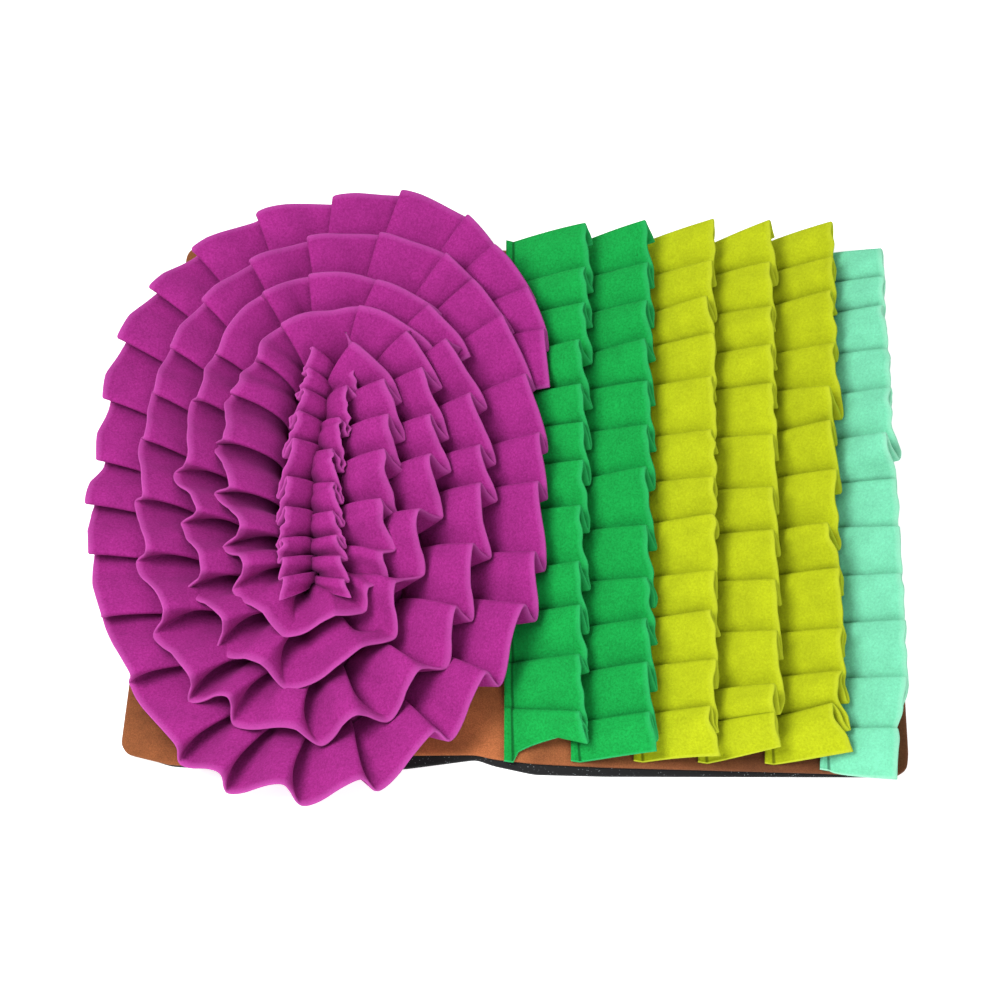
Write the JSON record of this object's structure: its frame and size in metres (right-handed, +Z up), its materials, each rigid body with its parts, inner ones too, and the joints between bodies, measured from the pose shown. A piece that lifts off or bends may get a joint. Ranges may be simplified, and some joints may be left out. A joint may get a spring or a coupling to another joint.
{
  "type": "snuffle mat",
  "caption": "Soft foraging mat for a pet: pleated fleece strips sewn by one edge to a flat cloth base, as nested ovals on one half and as straight leaning rows on the other.",
  "frame": {"origin": "the middle of the mat's flat underside, on the surface that it lies on", "axes": "+Z up out of the mat; +X along its long side, from the ovals' end to the straight rows' end; +Y to the long side at the back, which the ovals' folds face on the right and the rows run towards"},
  "size_m": [0.656, 0.5471, 0.0765],
  "materials": {
    "suede": "brushed suede cloth with a soft nap",
    "backing": "dark non-slip cloth with small pale grip dots",
    "magenta": "matt brushed fleece",
    "green": "matt brushed fleece",
    "lime": "matt brushed fleece",
    "mint": "matt brushed fleece"
  },
  "bodies": {
    "root": {"base_backing": "backing", "base_top": "suede", "magenta_ruffle_1": "magenta", "magenta_ruffle_2": "magenta", "magenta_ruffle_3": "magenta", "magenta_ruffle_4": "magenta", "magenta_ruffle_5": "magenta", "magenta_ruffle_6": "magenta", "green_ruffle_1": "green", "green_ruffle_2": "green", "lime_ruffle_1": "lime", "lime_ruffle_2": "lime", "lime_ruffle_3": "lime", "mint_ruffle": "mint"}
  },
  "joints": []
}
